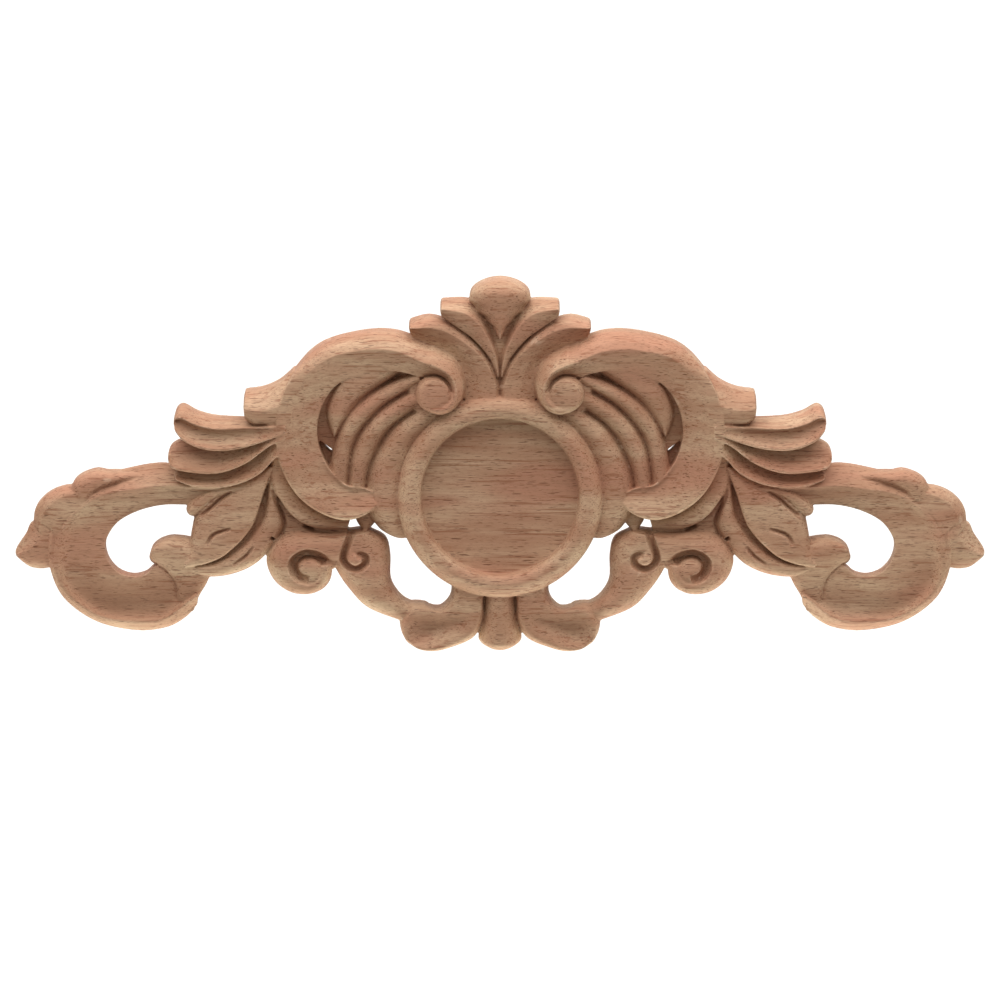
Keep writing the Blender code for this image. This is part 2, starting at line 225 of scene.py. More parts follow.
def solid_from_surface(name, surface):
    """Make a block from a grid of front points: a grid primitive drawn back to the plane Y = 0."""
    rows, columns = surface.shape[:2]
    bpy.ops.object.select_all(action="DESELECT")
    bpy.ops.mesh.primitive_grid_add(x_subdivisions=rows - 1, y_subdivisions=columns - 1, size=2)
    block = bpy.context.object
    block.name = name
    grid = np.empty(len(block.data.vertices) * 3, np.float32)
    block.data.vertices.foreach_get("co", grid)
    grid = (grid.reshape(-1, 3) + 1) / 2
    row = np.rint(grid[:, 0] * (rows - 1)).astype(int)
    column = np.rint(grid[:, 1] * (columns - 1)).astype(int)
    block.data.vertices.foreach_set("co", surface[row, column].ravel())
    bpy.ops.object.mode_set(mode="EDIT")
    bpy.ops.mesh.select_all(action="SELECT")
    bpy.ops.mesh.extrude_region_move()
    bpy.ops.transform.resize(value=(1, 0, 1), center_override=(0, 0, 0))
    bpy.ops.mesh.select_all(action="SELECT")
    bpy.ops.mesh.normals_make_consistent(inside=False)
    bpy.ops.object.mode_set(mode="OBJECT")
    return block


def leaf(name, upper, lower, lines, ends=(0, 0), spread=1.0):
    """Block between two edges that each run through a few points."""
    return carve(name, (curve_through(upper), curve_through(lower)), lines, ends, spread)


def band(name, spine, widths, lines, ends=(0, 0)):
    """Block that follows a spine."""
    return carve(name, rails_of_band(spine, widths), lines, ends)


def turned(name, centre, profile, steps):
    """Disc or dome turned about an axis that stands on the back. A knot is its radius and height."""
    weights = blending([SHARP in knot[2:] for knot in profile])
    outline = weights @ np.array([knot[:2] for knot in profile], float)
    angles = np.linspace(0, 2 * math.pi, steps + 1)
    radius, height = outline[:, 0], outline[:, 1]
    surface = np.stack([centre[0] + np.outer(np.cos(angles), radius),
                        np.broadcast_to(-height, (steps + 1, len(height))),
                        centre[1] + np.outer(np.sin(angles), radius)], axis=2) * MM
    block = solid_from_surface(name, surface)
    bpy.ops.object.mode_set(mode="EDIT")
    bpy.ops.mesh.select_all(action="SELECT")
    bpy.ops.mesh.remove_doubles(threshold=0.01 * MM)
    bpy.ops.mesh.delete_loose()
    bpy.ops.object.mode_set(mode="OBJECT")
    return block


def roll(top, edge, other_edge=None):
    """Lines of a convex roll with this top and these heights at its edges."""
    stations = np.linspace(0, 1, 9)
    top, edge = graded(top, stations), graded(edge, stations)
    other = edge if other_edge is None else graded(other_edge, stations)
    shares = ((0.0, 0.0), (0.1, 0.52), (0.26, 0.86), (0.5, 1.0), (0.74, 0.86), (0.9, 0.52), (1.0, 0.0))
    return [(place, (edge if place < 0.5 else other) * (1 - share) + top * share)
            for place, share in shares]


def medallion():
    """Round frame: a convex roll with a crisp inner rim round a flat sunk floor."""
    profile = [(0, FLOOR_HEIGHT), (12, FLOOR_HEIGHT), (RING_INNER - 0.5, FLOOR_HEIGHT, SHARP),
               (RING_INNER - 0.1, FLOOR_HEIGHT + 3.4, SHARP), (RING_INNER + 0.6, FLOOR_HEIGHT + 4.3),
               (RING_INNER + 1.6, RING_CREST - 0.2), (RING_INNER + 2.9, RING_CREST),
               (RING_INNER + 4.7, RING_CREST - 0.8), (RING_OUTER - 0.7, RING_CREST - 2.5),
               (RING_OUTER, RING_CREST - 4.4)]
    return turned("medallion", (0, 0), profile, 360)


def eye(name, place, edge, top):
    """Domed eye of a scroll."""
    x, z, radius = place
    rise = top - edge
    profile = [(0, top), (radius * 0.4, top - rise * 0.1), (radius * 0.72, top - rise * 0.38),
               (radius * 0.94, edge + rise * 0.1), (radius + EYE_FOOT * 0.6, edge - 1.4),
               (radius + EYE_FOOT, edge - 3)]
    return turned(name, (x, z), profile, 90)


def crest_leaves():
    """Two leaves on each side that spread up from the medallion."""
    return [
        leaf("upper_leaf", [(18.5, 60.5), (9.5, 60.4), (4.5, 56), (1.4, 48.6), (0.4, 42), (0.2, 37.4)],
             [(18.3, 56.2), (14.0, 53.4), (8.2, 49.2), (3.6, 43.9), (1.7, 40.2), (0.7, 37.4)],
             [(0, (8, 9, 12)), (0.2, (11, 11.8, 12.8)), ((0.4, 0.38, 0.36), (13.6, 14.2, 13.6), SHARP),
              (0.7, (13.2, 13.7, 13.3)), (1, (12.3, 12.8, 12.8))], (0.8, 0)),
        leaf("lower_leaf", [(28.2, 54.0), (21.5, 55.5), (14.5, 53.2), (8.2, 48.3), (2.8, 41.4), (0.5, 36),
                            (0.2, 32), (0.2, 28)],
             [(27.9, 50.6), (25.2, 48.2), (17.8, 45.2), (12.9, 40.8), (10.6, 35.2), (10.8, 28)],
             [(0, (7.5, 10.6, 11.4, 10.8)), ((0.18, 0.11, 0.06, 0.05), (10.6, 12, 12.2, 11.8)),
              ((0.42, 0.28, 0.13, 0.1), (12.8, 13, 12.9), SHARP), (0.56, (11.6, 11.9, 12.2)),
              (0.78, (10.4, 10.7, 11.4)), (1, (9.4, 9.8, 10.8))], (0.8, 0)),
    ]


def crest_middle():
    """Bud at the top and the low ground behind the crest."""
    return [
        band("bud", [(0, 67.3), (0, 49.4)], (19.2, 19.8, 19.0, 14.6, 8.6, 3.6, 1),
             roll((16, 16.2, 15.8, 14.6), 11), (8.2, 0)),
        band("crest_ground", [(0, 56), (0, 28)], (16, 26, 25), [(0, 9.5), (0.5, 10.4), (1, 9.5)]),
    ]


def great_scroll():
    """Broad C-scroll beside the medallion with its curl, the curled eye and the shoulder on its back."""
    arm_outer, arm_inner = rails_of_band(
        [(23, 42.3), (29.5, 44.8), (42, 44.6), (54, 40), (61.4, 28.5), (62.2, 15), (56.5, 3.3), (47, -2.3),
         (37.8, -1.2)], (9.7, 11.4, 12, 12.8, 12.4, 12.8, 13, 11, 8.5))
    arm_knots = np.linspace(0, len(arm_outer) - 1, 10).astype(int)
    # The curl winds in round the eye, from the arm at 88 degrees to its end at 285
    curl_outer = arc_points(GREAT_EYE, 6.2, 14.6, 285, 88, 7)
    curl_inner = arc_points(GREAT_EYE, 4.2, 5.0, 285, 88, 7)
    outer = np.vstack([curl_outer, arm_outer[arm_knots]])
    inner = np.vstack([curl_inner, arm_inner[arm_knots]])
    # One value for each knot: seven round the curl, ten along the arm
    outer_edge = (10, 10, 9.5, 9, 9, 9, 9,
                  9, 9, 9, 10.5, 15, 15, 13.8, 12.2, 11.4, 10.8)
    crest = (16.6, 17.2, 17.5, 17.7, 17.8, 17.8, 17.5,
             16.9, 16.3, 15.9, 15.5, 15.1, 14.8, 14.3, 13.8, 13.4, 13)
    crest_place = (0.5, 0.55, 0.6, 0.62, 0.62, 0.6, 0.56,
                   0.5, 0.42, 0.36, 0.32, 0.24, 0.15, 0.1, 0.08, 0.08, 0.1)
    face = (17.2, 17.4, 17.4, 17.2, 16.6, 15.6, 15,
            14.6, 14.3, 14, 13.6, 13.1, 12.4, 11.7, 11, 10.8, 10.9)
    inner_edge = (17.1, 17.2, 17, 16, 14, 12.6, 13,
                  13.6, 13.6, 13.4, 12.8, 12, 11.4, 11.1, 11.2, 11.4, 11.2)
    bevel = np.array(outer_edge) * 0.32 + np.array(crest) * 0.68
    return [
        carve("scroll", (curve_through(outer, even=False), curve_through(inner, even=False)),
              [(0, outer_edge), (np.array(crest_place) * 0.42, bevel), (crest_place, crest, SHARP),
               (0.8, face), (1, inner_edge)], (0, 5)),
        eye("scroll_eye", (GREAT_EYE[0], GREAT_EYE[1], GREAT_EYE[2] - 0.1),
            SCROLL_TOP - 0.9, SCROLL_TOP - 0.1),
        turned("eye_ground", GREAT_EYE[:2], [(0, 12), (7, 12), (8.4, 10.4), (10.6, 7.6)], 60),
        leaf("shoulder", [(79.1, 32.2), (73, 33.1), (68.2, 35.2), (65.2, 37.6), (63.5, 39.3)],
             [(78.9, 24.4), (75, 22.3), (69, 21.9), (64.6, 22)],
             [(0, (9, 9.5, 10.5, 9.5)), (0.25, (12.8, 12.8, 13, 12.6)),
              ((0.56, 0.54, 0.5), (15, 15.2, 14.8), SHARP), (0.8, (14.4, 14.6)),
              (1, (12.4, 13.4, 14.2))], (0.7, 0)),
    ]


def ribs():
    """Four convex ribs that fan out from under the scroll's eye, and the low ground beside them."""
    valleys = [
        [(43, 40.6), (50.4, 33.5), (53.6, 25.6), (51.3, 17.8)],
        [(27, 40.2), (40.5, 31.5), (47.6, 23.5), (50.9, 18.2)],
        [(25, 39.8), (41, 31.2), (49.3, 21.5), (52.9, 6)],
        [(24.6, 35), (37, 27), (45, 16), (47.3, 0)],
        [(23, 29), (33.6, 21), (40, 10), (42, 0)],
        [(18, 25), (26.5, 14.5), (29.5, 1.8), (27.5, -14.3)],
    ]
    last_rib = [(23, 29), (33.6, 21), (39.8, 10), (41.3, 1), (40.4, -5.8), (35.6, -12.5)]
    pairs = [(valleys[2], valleys[3]), (valleys[3], valleys[4]), (last_rib, valleys[5])]
    top = (RIB_TOP + 0.5, RIB_TOP, RIB_TOP - 0.6, RIB_TOP - 1.8)
    made = [leaf(f"rib_{number + 2}", outer, inner, roll(top, 7.4), (0, 2.5), 1.04)
            for number, (outer, inner) in enumerate(pairs)]
    return made + [
        leaf("rib_1", valleys[0], valleys[1], roll(top, (12.6, 12.4, 10, 7.8, 7.6), 7.4), (0, 2.5)),
        leaf("rib_ground", [(47, 38), (56.6, 28), (57.6, 22), (57, 17.8)],
             [(43, 35), (50, 28), (51, 20), (51, 13.4)],
             [(0, (11.4, 9.8, 8, 6.6)), (0.5, (10.6, 9, 7.4, 6.6)), (1, (9, 7.8, 7, 6.6))]),
        leaf("rib_heads", [(46, 43), (34, 43), (20, 41)], [(42, 37), (33, 37), (20, 34)],
             [(0, 10.4), (0.6, 9.6), (1, 6.6)]),
        leaf("slot_floor", [(58, 18.8), (54, 4)], [(51.2, 11.8), (48, 4)], [(0, 4), (1, 4)]),
        leaf("bridge", [(45.2, -5), (44.4, -8.3), (42.4, -11.4)], [(38.3, -5), (38.8, -8.8), (41, -11.4)],
             roll(8, 6)),
    ]


def plumes():
    """Three shingled plumes that sweep outward from the shoulder."""
    uppers = [
        [(100.5, 26.0), (97.8, 27.7), (93.2, 25.4), (87, 23.9), (76, 23.4), (66, 22.8)],
        [(102.2, 14.6), (98.7, 16.6), (92.5, 17), (84.5, 16.6), (75, 18.8), (66, 21.8)],
        [(100.4, 7.9), (92.8, 8.7), (84.5, 9.8), (75, 14.4), (66, 19.2)],
    ]
    lowers = [
        [(100.6, 21.2), (97.4, 17.5), (91.5, 15), (84.5, 14.6), (76.5, 16.2), (66, 20.2)],
        [(102.6, 11.4), (100.6, 8.6), (93.3, 7.3), (86, 7.5), (78, 10.7), (71, 16.0), (66, 18.4)],
        [(100.6, 5.0), (94.5, 3), (87.5, 2.5), (80.5, 3.9), (74, 7.2), (69.5, 12), (66, 14.5)],
    ]
    first = [(0, (7.5, 7.5, 8.5, 13)), (0.14, (10.8, 10.8, 11.4, 14.4)),
             ((0.36, 0.29, 0.23, 0.2), (12.6, 13, 13.6, 15), SHARP), (0.5, (10.9, 11.2, 12.4, 15)),
             (0.76, (11.9, 12.1, 13, 15)), (0.94, (13.7, 13.9, 14.3, 15.2), SHARP),
             (1, (12.8, 13.2, 13.6, 15))]
    second = [(0, (6, 6, 7, 12.8)), (0.2, (7.8, 7.8, 8.8, 14.2)), (0.6, (9.8, 9.7, 11, 14.8)),
              (0.94, (12.4, 12.6, 13.4, 15), SHARP), (1, (11.4, 11.8, 12.6, 14.6))]
    third = [(0, (5, 5, 6.4, 12.4)), (0.2, (6.6, 6.6, 7.8, 13.8)), (0.6, (8.4, 8.4, 10, 14.4)),
             (0.94, (11, 11.4, 12.4, 14.6), SHARP), (1, (10, 10.4, 11.8, 14.2))]
    made = [leaf(f"plume_{number + 1}", uppers[number], lowers[number], lines, (1.2, 0))
            for number, lines in enumerate((first, second, third))]
    return made + [leaf("plume_ground", [(80, 20), (62, 21)], [(76, 4), (62, 3)], [(0, 8.6), (1, 8.2)])]


def drooping_leaf():
    """Leaf of three lobes below the plumes, and the plain strip between it and the scroll."""
    return [
        leaf("leaf_side_lobe", [(76, 5.5), (88.2, 2.5), (94.7, -0.8), (97.5, -5)],
             [(76, 1), (86.3, -0.6), (91.5, -5), (95, -7.2)], roll(LEAF_TOP, 6.5), (0, 1.2)),
        leaf("leaf_main", [(71.5, 9), (80, 4.2), (88.5, 0), (93.6, -5), (95.3, -11), (96.2, -17.5),
                           (97.9, -21)],
             [(70, 9), (73, 0.6), (76.8, -10), (84.5, -18.3), (91, -21.4), (97.3, -22.4)],
             [(0, 7.6), (0.14, (9.6, 9.2)), (0.5, (LEAF_TOP + 0.9, LEAF_TOP + 0.1)),
              (0.8, (LEAF_TOP + 0.8, LEAF_TOP)), (0.97, (LEAF_TOP + 0.3, LEAF_TOP - 0.2), SHARP),
              (1, (LEAF_TOP - 0.6, LEAF_TOP - 1.2))]),
        leaf("leaf_under_lobe", [(71.5, 6), (75, -5), (80.7, -13.3), (88, -19), (96, -21)],
             [(70, 5), (68.0, -4.8), (66.9, -10), (69.1, -14.6), (75.2, -21.5), (82.8, -25.1), (91, -25.9),
              (96.8, -23.6)],
             [(0, 5.2), (0.2, 6), (0.35, 8.4), (0.58, LEAF_TOP - 0.8), (0.85, LEAF_TOP - 1.5), (1, 5.8)]),
        leaf("leaf_ground", [(70, 4), (69, -6), (67, -12.8)], [(64, 4), (60.5, -4), (58.5, -11)],
             [(0, 5.6), (0.5, 5.4), (1, 5)]),
        leaf("strip", [(70.4, 13), (70.6, 4), (67.6, -2), (63.3, -7.2), (57, -10.4), (47.2, -10.6)],
             [(63, 13), (64, 5), (60, -2), (55.5, -5), (50, -6.6), (46, -6.5)],
             [(0, (9.2, 8.6, 7.6)), (0.1, (10.6, 10, 8.8)), (0.36, (11, 10.6, 9.4)),
              (0.74, (10.2, 9.8, 8.8)), (1, 8)]),
        leaf("hook_ground", [(68, -6), (60, -9), (52, -9.6), (47.4, -9.6)],
             [(66, -14.5), (58, -15.5), (52, -15.5), (46.5, -14.5)], [(0, (5.6, 6.6, 7.4)), (1, 6.4)]),
    ]


def end_volute():
    """Outer volute: an arm that sweeps round an open eye to a comma, with lobes on its tip."""
    return [
        leaf("volute",
             [(84, 7.6), (97, 8.4), (106, 9), (116, 7.2), (125, 4.8), (132.5, 0), (137.4, -7), (139.2, -15),
              (139.1, -23.6), (135.1, -32.6), (125.5, -40.1), (113, -43.1), (103.5, -42.2), (97.5, -39),
              (93.9, -35)],
             [(84, -4), (97, -3.2), (105, -3.4), (112.5, -5.4), (118.6, -9), (121.9, -14.5),
              (121.6, -19.5), (118.6, -23.8), (114, -25.6), (109.8, -24.8), (107, -22.6), (103.5, -21.5),
              (98, -22.6), (93, -27)],
             [(0, (4.8, 3.6, 3.8, 8, 9, 6.4, 4.4, 4, 4)),
              ((0.22, 0.24, 0.22, 0.14, 0.08, 0.07, 0.07, 0.08), (7.6, 7.4, 7.4, 8.8, 9.2, 7.6, 6.6, 6.4)),
              ((0.5, 0.5, 0.46, 0.32, 0.18, 0.13, 0.14, 0.16, 0.45),
               (9.8, 9.8, 9.7, VOLUTE_TOP, VOLUTE_TOP, 9, 8.8, 8.8, VOLUTE_TOP), SHARP),
              ((0.62, 0.62, 0.6, 0.5, 0.4, 0.3, 0.28, 0.32, 0.6),
               (8.6, 8.6, 8.6, 8.6, 8.2, 7.2, 6.7, 6.8, 7)),
              (0.84, (7.8, 7.8, 7.8, 7.8, 8, 8.2, 8.4, 8, 7)),
              (1, (7.4, 7.4, 7.2, 7.2, 8, 8.5, 8.7, 8.3, 6.6))]),
        band("knob", [(110, 5.6), (116, 5.2), (121, 4.6), (125.5, 3.9), (128.6, 1.2), (129, -3.4)],
             (2, 3, 4.4, 6.6, 8, 5.5), roll((6.6, 7.8, 9, 9.8, 9.8, 8.8), (5, 5.6, 6.4, 7)), (0, 2.4)),
        leaf("outer_lobe", [(129.5, 2.6), (135.4, 1.9), (140.2, -0.4), (143.6, -4.4), (144.4, -9.2)],
             [(127, -3), (132, -5), (135.5, -9), (136.5, -14), (137, -18)],
             [(0, 5.5), (0.16, (7.8, 7.8, 7)),
              (0.3, (VOLUTE_TOP - 0.6, VOLUTE_TOP - 0.7, VOLUTE_TOP - 1.4), SHARP),
              (0.6, (VOLUTE_TOP - 0.5, VOLUTE_TOP - 0.5, VOLUTE_TOP - 1.3)),
              (1, (VOLUTE_TOP - 0.2, VOLUTE_TOP - 0.2, VOLUTE_TOP - 1.2))]),
        leaf("tip_lobe", [(140, -8), (145, -9.4), (146.8, -12.8), (148.7, -15.6), (150.5, -18.4)],
             [(135, -15), (136.2, -20.5), (139.4, -23.1), (144.8, -23.2), (149, -20.6)],
             [(0, (5.5, 5)), (0.2, (7.4, 6.6, 5.8)),
              (0.4, (VOLUTE_TOP - 1, VOLUTE_TOP - 1.6, VOLUTE_TOP - 2.4)),
              (0.75, (VOLUTE_TOP - 1.1, VOLUTE_TOP - 2, VOLUTE_TOP - 3)), (1, (6.4, 5))], (0, 1.5)),
        leaf("comma",
             [(108.6, -18.2), (108.0, -20.8), (104.6, -23.4), (100.9, -28.2), (99.9, -32.5), (98.4, -38.4)],
             [(106.4, -14.9), (100.6, -13.5), (92.5, -15.6), (89.2, -22.5), (90.7, -27.6), (93.1, -31.7),
              (94.9, -36.4)],
             roll((LEAF_TOP + 0.6, LEAF_TOP - 0.4, LEAF_TOP - 1.6, LEAF_TOP - 3), (7.4, 7.6, 7, 6.6),
                  (5.4, 5.4, 6.4, 7)), (1.6, 0)),
    ]


def lower_scrolls():
    """Two small scrolls that hang between the leaf and the foot."""
    return [
        leaf("hook_roll",
             [(42, -10.8), (52.5, -11.8), (61, -11.3), (68.3, -13.4), (72.2, -19.6), (70.3, -26.4),
              (64.6, -30.8), (57.6, -31.0), (52.9, -27.2), (51.6, -21.5)],
             [(42, -17), (48, -20.6), (54, -20.1), (58.9, -18.9), (62.2, -20.6), (62.4, -23.9),
              (60.6, -26.0), (58.4, -26.0), (56.8, -24.4), (56.4, -21.8)],
             roll((FOOT_TOP - 1.2, FOOT_TOP - 0.4, FOOT_TOP - 0.6), 6.5, 8.6)),
        turned("notch_floor", (52.3, -21.4), [(0, 9), (1.5, 9), (1.9, 8)], 24),
        turned("lower_eye_ground", LOWER_EYE[:2], [(0, 8.8), (5.6, 8.8), (6.9, 7.6)], 60),
        eye("lower_eye", (LOWER_EYE[0], LOWER_EYE[1], LOWER_EYE[2] - 1.6), FOOT_TOP - 1.6, FOOT_TOP - 0.5),
        leaf("swag", [(49.5, -13), (51.9, -19.5), (50.4, -24), (46.6, -29.7), (40.9, -35.5), (31, -39.6),
                      (26, -41.2)],
             [(40, -11.2), (35.4, -14), (34.0, -19.5), (33.9, -26.7), (31.6, -31.2), (28.4, -33.8),
              (25, -34.6)],
             roll((FOOT_TOP - 0.8, FOOT_TOP - 0.4, FOOT_TOP - 0.4, FOOT_TOP - 0.8, 8.6), (6.6, 6.6, 6.2))),
        eye("small_eye", SMALL_EYE, FOOT_TOP - 1.6, FOOT_TOP + 0.3),
    ]


def foot_lobes():
    """Hollowed lobe on each side of the stem."""
    scoop = [(0, 7), (0.12, (10.6, 10.6, 10.4, 10.4, 10.2)), (0.35, (11.6, 11.4, 10.8, 9.4, 10.6)),
             (0.6, (FOOT_TOP, 11.6, 10.2, 8.5, 10.6)), (0.85, (11.2, 11.6, 11.8, 11.6, 10.8)),
             (0.95, 10.2), (1, 5.5)]
    return [leaf("foot_lobe", [(15, -26), (15.4, -32.0), (18.6, -35.5), (22.2, -35.1), (23.6, -34.3),
                               (28.2, -34.5), (31.0, -39.2), (30.0, -45.2)],
                 [(4.9, -26), (4.9, -33), (5.1, -39), (8.2, -45), (15, -48.1), (20.5, -49.1),
                  (26.3, -48.0)], scoop, (0, 2.5))]


def stem():
    """Flared stem under the medallion."""
    return [band("stem", [(0, -26), (0, -48.9)], (10, 10.2, 10.2, 10.6, 12, 13.4, 12.5),
                 roll(FOOT_TOP, 5.5), (0, 4))]


# Gouge cuts: width, depth and the path of the cut's middle
GOUGES = [
    (3.3, 4, [(53.8, -21.0), (55.6, -19.1), (59.1, -18.1), (62.0, -18.9), (63.9, -21.0), (63.4, -23.9),
              (61.5, -25.6), (59.0, -26.2)]),
    (2.7, 3.2, [(45.4, -9.4), (46.8, -14.1), (48.2, -17.9), (48.2, -20.4), (46.3, -22.3), (43.9, -22.6),
                (41.7, -21.2), (41.5, -19.3), (42.9, -18.4), (44.5, -18.7)]),
    (1.6, 1.3, [(83.0, -10.2), (88.5, -12.2), (90.6, -15.6)]),
    (1.5, 1.2, [(76.0, -16.0), (78.9, -19.3), (82.8, -22.0)]),
    (1.6, 3, [(61.0, -9.6), (59.2, -10.4), (57.2, -11.1)]),
    (1.4, 2.6, [(71.0, -13.2), (70.4, -13.7), (69.8, -14.3)]),
    (1.5, 1.8, [(82.6, 1.2), (86.3, -1.2), (89.4, -4.0), (92.6, -6.6)]),
    (1.4, 0.4, [(108.3, -20.8), (105.9, -21.9), (102.8, -24.3), (100.6, -28.0), (100.2, -33.4)]),
    (1.1, 0.3, [(143.5, -8.1), (140.5, -9.9), (138.1, -12.3), (138.0, -17.0), (138.2, -22.0)]),
    (1.3, 1.3, [(77.2, 22.4), (74.2, 22.5), (71.4, 22.7)]),
    (1.3, 1.6, [(23.8, 37.8), (19.1, 37.9), (16.0, 35.9), (14.7, 33.2)]),
    (1.3, 1.4, [(70.5, 2.3), (69.6, -1.5), (68.0, -5.0), (66.8, -7.8), (66.8, -10.6), (69.0, -13.4)]),
]


def sink_gouges(piece):
    """Push the front of the carving back along the gouge cuts, on both sides of the middle."""
    mesh = piece.data
    flat = np.empty(len(mesh.vertices) * 3, np.float32)
    mesh.vertices.foreach_get("co", flat)
    spots = flat.reshape(-1, 3).astype(float)
    plan = np.column_stack([np.abs(spots[:, 0]), spots[:, 2]]) / MM
    front = spots[:, 1] < -GOUGE_REACH * MM
    for width, depth, path in GOUGES:
        curve = curve_through(path, 90)
        low, high = curve.min(axis=0) - width, curve.max(axis=0) + width
        near = np.flatnonzero(front & (plan > low).all(axis=1) & (plan < high).all(axis=1))
        gaps = np.linalg.norm(plan[near][:, None, :] - curve[None, :, :], axis=2)
        nearest = gaps.argmin(axis=1)
        across = np.clip(1 - (gaps.min(axis=1) / (width / 2)) ** 2, 0, 1)
        taper = np.sin(math.pi * nearest / (len(curve) - 1)) ** 0.5
        spots[near, 1] += depth * MM * across * taper
    mesh.vertices.foreach_set("co", spots.astype(np.float32).ravel())
    mesh.update()


def settle_in_box(piece, low, high):
    """Keep the carving inside the solid's box, with its back exactly on the back plane."""
    mesh = piece.data
    flat = np.empty(len(mesh.vertices) * 3, np.float32)
    mesh.vertices.foreach_get("co", flat)
    spots = flat.reshape(-1, 3)
    spots[spots[:, 1] > -BACK_MARGIN * MM, 1] = 0
    spots = np.clip(spots, np.array(low, np.float32), np.array(high, np.float32))
    mesh.vertices.foreach_set("co", spots.ravel())
    mesh.update()


def joined(blocks):
    """Join blocks into one object."""
    bpy.ops.object.select_all(action="DESELECT")
    for block in blocks:
        block.select_set(True)
    bpy.context.view_layer.objects.active = blocks[0]
    bpy.ops.object.join()
    return bpy.context.object


def applied(piece, kind, **settings):
    """Add a modifier to a piece with these settings and apply it."""
    bpy.ops.object.select_all(action="DESELECT")
    piece.select_set(True)
    bpy.context.view_layer.objects.active = piece
    modifier = piece.modifiers.new(kind.lower(), kind)
    for name, value in settings.items():
        setattr(modifier, name, value)
    bpy.ops.object.modifier_apply(modifier=modifier.name)


def clear_transform(piece):
    """Take the object's place, turn and size into its mesh."""
    bpy.ops.object.select_all(action="DESELECT")
    piece.select_set(True)
    bpy.context.view_layer.objects.active = piece
    bpy.ops.object.transform_apply(location=True, rotation=True, scale=True)


class Wire:
    """A value in a node tree that can be used in sums."""

    def __init__(self, tree, socket):
        self.tree = tree
        self.socket = socket

    def math(self, operation, *values):
        """Result of a Math node."""
        node = self.tree.nodes.new("ShaderNodeMath")
        node.operation = operation
        for place, value in zip(node.inputs, (self,) + values):
            put(self.tree, place, value)
        return Wire(self.tree, node.outputs[0])

    def __add__(self, other):
        return self.math("ADD", other)

    def __mul__(self, other):
        return self.math("MULTIPLY", other)

    def __sub__(self, other):
        return self.math("SUBTRACT", other)

    def __rsub__(self, other):
        return (self * -1.0) + other

    __radd__ = __add__

    def between(self, low, high):
        """0 below low, 1 above high and a smooth rise between them."""
        node = self.tree.nodes.new("ShaderNodeMapRange")
        node.interpolation_type = "SMOOTHSTEP"
        put(self.tree, node.inputs["Value"], self)
        put(self.tree, node.inputs["From Min"], low)
        put(self.tree, node.inputs["From Max"], high)
        return Wire(self.tree, node.outputs["Result"])


def put(tree, place, value):
    """Link a wire to an input, or set the input's value."""
    if isinstance(value, Wire):
        tree.links.new(value.socket, place)
    else:
        place.default_value = value


class Shader:
    """Node tree of one material."""

    def __init__(self, name):
        self.material = bpy.data.materials.new(name)
        self.material.use_nodes = True
        self.tree = self.material.node_tree
        self.surface = self.tree.nodes["Principled BSDF"]

    def node(self, kind, output=0, settings=None, **values):
        """Add a node with settings, and with values or wires on the inputs that are named."""
        node = self.tree.nodes.new(kind)
        for name, value in (settings or {}).items():
            setattr(node, name, value)
        for name, value in values.items():
            put(self.tree, node.inputs[name.replace("_", " ")], value)
        return Wire(self.tree, node.outputs[output])

    def stretched(self, coordinates, sizes):
        """Coordinates scaled so that one unit spans these sizes, in millimetres."""
        scale = tuple(1 / (size * MM) for size in sizes)
        return self.node("ShaderNodeMapping", settings={"vector_type": "POINT"}, Vector=coordinates,
                         Scale=scale)

    def noise(self, coordinates, detail=2.0, roughness=0.5):
        """Cloudy noise from 0 to 1."""
        return self.node("ShaderNodeTexNoise", "Fac", Vector=coordinates, Scale=1.0, Detail=detail,
                         Roughness=roughness)

    def mixed(self, factor, first, second):
        """Mix of two colours."""
        node = self.tree.nodes.new("ShaderNodeMix")
        node.data_type = "RGBA"
        put(self.tree, node.inputs["Factor"], factor)
        put(self.tree, [i for i in node.inputs if i.name == "A" and i.type == "RGBA"][0], first)
        put(self.tree, [i for i in node.inputs if i.name == "B" and i.type == "RGBA"][0], second)
        return Wire(self.tree, [o for o in node.outputs if o.type == "RGBA"][0])

    def set(self, **values):
        """Set or link inputs of the surface."""
        for name, value in values.items():
            put(self.tree, self.surface.inputs[name.replace("_", " ")], value)


